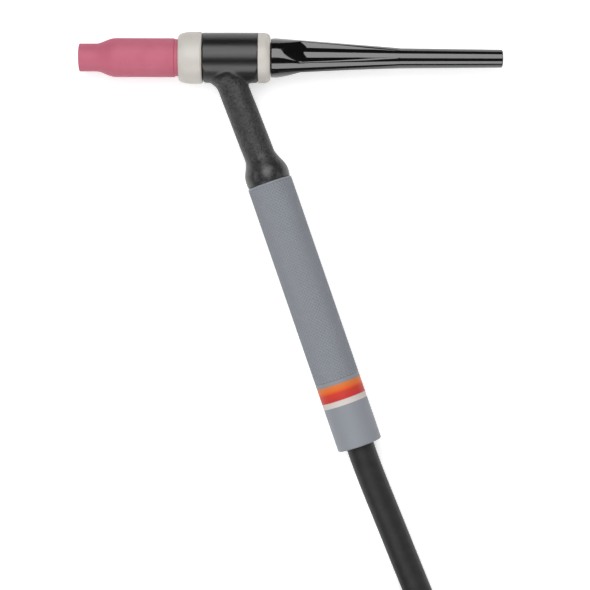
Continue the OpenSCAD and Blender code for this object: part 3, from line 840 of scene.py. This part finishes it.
def capPoint(along, off):
    # off counts from the nearest flute's middle; the columns follow the flute's edges
    rim = between(capShape["outline"], along)
    core = between(capShape["core"], along)
    past = along - capShape["foot"]
    hollow = capShape["hollow"]
    centre = capShape["footRadius"] + hollow - capShape["fall"] * past
    ramp = capShape["footRadius"] - capShape["ramp"] * past
    reach = fluteSpan(rim, centre)
    inner = fluteSpan(core, centre)
    if past < 0:
        wide = math.sqrt(max(hollow ** 2 - (centre - ramp) ** 2, 0))
        inner = max(inner, math.degrees(math.atan2(wide, ramp)))
        reach = min(reach, math.degrees(math.acos(min(1, ramp / rim))))
    reach = max(reach, capShape["leastSpan"])
    inner = min(inner, capShape["innerShare"] * reach)
    fillet = min(capShape["filletSpan"], capShape["filletShare"] * reach)
    rounding = min(capShape["roundSpan"], capShape["roundShare"] * (reach - inner - fillet))
    half = 180 / capShape["flutes"]
    angles = [0, inner - fillet, inner + fillet, reach - rounding, reach + rounding, half]
    columns = list(zip(capShape["columns"], angles))
    angle = math.radians(between(columns, abs(off) / half))
    radius = rim
    if abs(centre * math.sin(angle)) < hollow:
        depth = max(rim - core, capShape["leastDepth"])
        blend = min(capShape["filletBlend"], depth / 2)
        aside = centre * math.sin(angle)
        radius = centre * math.cos(angle) - math.sqrt(hollow ** 2 - aside ** 2)
        radius = softMax(radius, core, blend)
        if past < 0:
            radius = softMax(radius, ramp / math.cos(angle), blend)
        radius = -softMax(-rim, -radius, min(capShape["roundBlend"], depth))
    return radius, math.copysign(angle, off)


def makeCapShell():
    coneEnd, stemRadius = capShape["outline"][-1]
    piece = makeRings("capShell", capShape["around"], capShape["parts"])
    step = coneEnd / capShape["parts"] / ringsPerPart
    spacing = 360 / capShape["flutes"]
    for vert in piece.data.vertices:
        turned = math.degrees(math.atan2(vert.co.y, vert.co.x)) + capShape["turn"]
        middle = round(turned / spacing) * spacing
        along = round(vert.co.z / mm) * step
        radius, off = capPoint(along, turned - middle)
        angle = math.radians(middle - capShape["turn"]) + off
        vert.co.z = along * mm
        vert.co.x, vert.co.y = radius * mm * math.cos(angle), radius * mm * math.sin(angle)
    bpy.ops.object.mode_set(mode="EDIT")

    # stem and its end
    stemEnd, endRadius = capShape["stemEnd"]
    chooseRim(piece, coneEnd * mm)
    growRing(endRadius, stemEnd - coneEnd, stemRadius)
    growRing(endRadius - capShape["chamfer"], capShape["chamfer"], endRadius)
    bpy.ops.mesh.edge_face_add()

    # mouth, socket of the insert and bore
    mouth = capShape["outline"][0][1]
    socketRadius, socketDepth = capShape["socket"]
    boreRadius, boreDepth = capShape["bore"]
    chooseRim(piece, 0)
    growRing(socketRadius, 0, mouth)
    growRing(socketRadius, socketDepth, socketRadius)
    growRing(boreRadius, 0, socketRadius)
    growRing(boreRadius, boreDepth - socketDepth, boreRadius)
    bpy.ops.mesh.edge_face_add()
    bpy.ops.mesh.select_all(action="SELECT")
    bpy.ops.mesh.normals_make_consistent(inside=False)
    smooth(piece, 32)
    lay = Matrix.Rotation(math.radians(handleFrame["lay"]), 4, "X")
    turn = Matrix.Rotation(math.pi, 4, "X") @ Matrix.Rotation(math.pi / 2, 4, "Y")
    settle(piece, lay @ Matrix.Translation((capShape["start"] * mm, 0, 0)) @ turn)
    return piece


capShell = makeCapShell()
finishPiece(capShell, capBlack, "cap", "phenolic", "back_cap")


# handle: a moulded tube with a fine diamond grip, made upright and then laid in place; the
# grip ends before the label, which lies in a shallow recess
grip = {
    "around": 38,
    "rows": 54,
    "radius": 10.45,
    "depth": 0.17,
    "inset": 0.3,
    "rise": 0.15,
    "from": 1.0,
    "rim": 0.3,
    "labelGap": 1,
    "labelDepth": 0.2,
    "length": 127.6,
    "bore": 8.2,
    "mouth": (0.3, 0.5),
    "edge": 0.8,
    "edgeSteps": 4,
    "weld": 0.001,
}

# grey plastic of the handle, with painted shade that darkens the grooves between the diamonds, and
# an uneven tone at random
greyLook = {
    "colour": (143, 147, 154),
    "roughness": 0.48,
    # the low tone is the painted shade on the groove floors, the high one the diamond tops
    "tones": ((124, 128, 136), (142, 146, 153)),
    "toneRange": (0.0, 1.2),
    "toneNoise": (160, 5),
    "noiseShare": 0.3,
    "gloss": (0.42, 0.56),
    "glossNoise": (900, 3),
}

handleGrey, shader = newMaterial("handleGrey", paint(*greyLook["colour"]), greyLook["roughness"])
across = addNode(handleGrey, "ShaderNodeVectorMath", operation="MULTIPLY")
across.inputs[1].default_value = (1, 1, 0)
reach = addNode(handleGrey, "ShaderNodeVectorMath", operation="LENGTH")
# painted shade: 0 on the groove floors and 1 on the diamond tops, by distance from the handle's
# axis
grooveShadeMask = addNode(handleGrey, "ShaderNodeMapRange")
grooveShadeMask.inputs["From Min"].default_value = (grip["radius"] - grip["depth"]) * mm
grooveShadeMask.inputs["From Max"].default_value = grip["radius"] * mm
link(handleGrey, handleSpace(handleGrey), across.inputs[0])
link(handleGrey, across.outputs["Vector"], reach.inputs[0])
link(handleGrey, reach.outputs["Value"], grooveShadeMask.inputs["Value"])
uneven = noiseOn(handleGrey, *greyLook["toneNoise"])
uneven = combine(handleGrey, uneven, greyLook["noiseShare"])
# painted groove shade plus the random uneven tone
grooveShadeAndTone = combine(handleGrey, grooveShadeMask.outputs["Result"], uneven, "ADD")
low, high = greyLook["tones"]
blendColour(handleGrey, shader, grooveShadeAndTone, paint(*low), paint(*high), *greyLook["toneRange"])
glossNoise = noiseOn(handleGrey, *greyLook["glossNoise"])
varyRoughness(handleGrey, shader, glossNoise, *greyLook["gloss"])


def makeHandle():
    base = grip["radius"] - grip["depth"]
    labelStart, labelEnd = labelBands["from"], labelBands["to"]
    gripLength = labelStart - grip["labelGap"] - grip["from"]
    piece = openTube("handleGrip", grip["around"], base, grip["from"], gripLength)

    # rows across, then the diagonals; the old grid lines go, which leaves diamonds
    cutAcross(piece, grip["rows"])
    bpy.ops.mesh.select_all(action="SELECT")
    bpy.ops.object.mode_set(mode="OBJECT")
    corners = len(piece.data.vertices)
    bpy.ops.object.mode_set(mode="EDIT")
    bpy.ops.mesh.poke()
    bottom, top = grip["from"] * mm, (grip["from"] + gripLength) * mm

    def oldGrid(edge):
        heights = [piece.data.vertices[v].co.z for v in edge.vertices]
        inside = any(bottom + sameHeight < height < top - sameHeight for height in heights)
        return inside and all(v < corners for v in edge.vertices)

    chooseEdges(piece, oldGrid)
    bpy.ops.mesh.dissolve_edges(use_verts=False)

    # each diamond stands up from the grooves
    chooseFaces(piece, lambda face: len(face.vertices) == 4)
    bpy.ops.mesh.inset(
        thickness=grip["inset"] * mm, depth=grip["depth"] * mm, use_individual=True
    )

    # front rim, bore and rear end grow from the two open edges
    full, rise, rim = grip["radius"], grip["rise"], grip["rim"]
    sunk = full - grip["labelDepth"]
    chooseRim(piece, bottom)
    growRing(full, -rise, base)
    growRing(full, rise + rim - grip["from"], full)
    growRing(full - rim, -rim, full)
    growRing(grip["bore"], 0, full - rim)

    chooseRim(piece, top)
    growRing(full, rise, base)
    growRing(full, grip["labelGap"] - rise, full)
    growRing(sunk, 0, full)
    growRing(sunk, labelEnd - labelStart, sunk)
    growRing(full, 0, sunk)
    growRing(full, grip["length"] - grip["edge"] - labelEnd, full)
    radius, height = full, grip["length"] - grip["edge"]
    for step in range(1, grip["edgeSteps"] + 1):
        angle = math.radians(90 * step / grip["edgeSteps"])
        nextRadius = full - grip["edge"] * (1 - math.cos(angle))
        nextHeight = grip["length"] - grip["edge"] * (1 - math.sin(angle))
        growRing(nextRadius, nextHeight - height, radius)
        radius, height = nextRadius, nextHeight
    mouthWidth, mouthDepth = grip["mouth"]
    growRing(grip["bore"] + mouthWidth, 0, radius)
    growRing(grip["bore"], -mouthDepth, grip["bore"] + mouthWidth)

    bridgeBore(piece, grip["bore"])
    bpy.ops.mesh.remove_doubles(threshold=grip["weld"] * mm)
    bpy.ops.mesh.normals_make_consistent(inside=False)
    smooth(piece, 25)
    settle(piece, handleAt)
    return piece


handleGrip = makeHandle()
finishPiece(handleGrip, handleGrey, "root", "handle_plastic", "handle")


# finishes of the nodes that keep their own shape
finishes = {
    aluminaPink: ["ceramic_cup"],
    ringWhite: ["cup_gasket", "rear_insulator"],
    labelPrint: ["label_band"],
    brass: ["head_core", "cap_insert", "neck_fitting", "cable_nut", "cable_nipple",
            "connector_nipple"],
    copper: ["collet_body", "collet", "neck_tube", "power_strands"],
    tungsten: ["tungsten_electrode"],
    crimpSteel: ["cable_ferrule", "connector_ferrule"],
    ringRubber: ["cap_o_ring", "insulating_sleeve"],
    cableBlack: ["cable_end"],
    tieFabric: ["coil_ties"],
}
for material, names in finishes.items():
    for name in names:
        nodes[name].data.materials.clear()
        nodes[name].data.materials.append(material)


# pale floor: its glow, as distance and strength, makes up for the lamps' falling light, so
# that it stays white far out
floorLook = {
    "size": 8,
    "middle": (0.1, -0.1),
    "below": 0.0001,
    "colour": (236, 236, 236),
    "roughness": 0.6,
    "shine": 0.2,
    "nearGlow": (0.4, 0.55),
    "farGlow": (1.3, 1.0),
}

deselectAll()
bpy.ops.mesh.primitive_plane_add(
    size=floorLook["size"], location=(*floorLook["middle"], tableZ - floorLook["below"])
)
floor = bpy.context.object
floor.name = "floor"
floorWhite, shader = newMaterial("floorWhite", paint(*floorLook["colour"]), floorLook["roughness"])
shader.inputs["Specular IOR Level"].default_value = floorLook["shine"]
rays = addNode(floorWhite, "ShaderNodeLightPath")
seen = addNode(floorWhite, "ShaderNodeMath", operation="ADD", use_clamp=True)
seenToo = addNode(floorWhite, "ShaderNodeMath", operation="ADD", use_clamp=True)
glow = addNode(floorWhite, "ShaderNodeEmission")
total = addNode(floorWhite, "ShaderNodeAddShader")
link(floorWhite, rays.outputs["Is Camera Ray"], seen.inputs[0])
link(floorWhite, rays.outputs["Is Glossy Ray"], seen.inputs[1])
link(floorWhite, seen.outputs["Value"], seenToo.inputs[0])
link(floorWhite, rays.outputs["Is Transmission Ray"], seenToo.inputs[1])
floorPlace = addNode(floorWhite, "ShaderNodeTexCoord")
away = addNode(floorWhite, "ShaderNodeVectorMath", operation="LENGTH")
link(floorWhite, floorPlace.outputs["Object"], away.inputs[0])
farther = addNode(floorWhite, "ShaderNodeMapRange")
for end, key in [("Min", "nearGlow"), ("Max", "farGlow")]:
    distance, strength = floorLook[key]
    farther.inputs["From " + end].default_value = distance
    farther.inputs["To " + end].default_value = strength
link(floorWhite, away.outputs["Value"], farther.inputs["Value"])
lift = combine(floorWhite, seenToo.outputs["Value"], farther.outputs["Result"])
link(floorWhite, lift, glow.inputs["Strength"])
output = floorWhite.node_tree.nodes["Material Output"]
link(floorWhite, shader.outputs["BSDF"], total.inputs[0])
link(floorWhite, glow.outputs["Emission"], total.inputs[1])
link(floorWhite, total.outputs["Shader"], output.inputs["Surface"])
floor.data.materials.append(floorWhite)

# faint even light from all round
worldLook = {"colour": (0.95, 0.97, 1, 1), "strength": 0.05}

world = bpy.data.worlds.new("studio")
bpy.context.scene.world = world
world.use_nodes = True
backdrop = world.node_tree.nodes["Background"]
backdrop.inputs["Color"].default_value = worldLook["colour"]
backdrop.inputs["Strength"].default_value = worldLook["strength"]

# two large soft boxes over the torch, tilted off the vertical, and a weak one to its left
# and right
softBoxes = {
    "upperBox": {"tilt": 22, "size": (0.7, 0.89), "power": 6.9},
    "lowerBox": {"tilt": -56, "size": (0.7, 0.52), "power": 3.8},
}
sideBoxes = {
    "leftBox": {"side": -1, "size": (0.4, 0.8), "power": 1.5},
    "rightBox": {"side": 1, "size": (0.4, 0.8), "power": 1.3},
}
boxPlaces = {"overX": 0.05, "away": 0.9, "sideHeight": 0.5, "sideTilt": 58}


def addBox(name, box, place, rotation):
    bpy.ops.object.light_add(type="AREA", location=place, rotation=rotation)
    lamp = bpy.context.object
    lamp.name = name
    lamp.data.shape = "RECTANGLE"
    lamp.data.size, lamp.data.size_y = box["size"]
    lamp.data.energy = box["power"]
    lamp.visible_camera = False


for name, box in softBoxes.items():
    tilt, away = math.radians(box["tilt"]), boxPlaces["away"]
    place = (boxPlaces["overX"], away * math.sin(tilt), away * math.cos(tilt))
    addBox(name, box, place, (-tilt, 0, 0))
for name, box in sideBoxes.items():
    middleX, middleY = floorLook["middle"]
    place = (middleX + box["side"] * boxPlaces["away"], middleY, boxPlaces["sideHeight"])
    addBox(name, box, place, (0, box["side"] * math.radians(boxPlaces["sideTilt"]), 0))
print("floor and lamps ready")
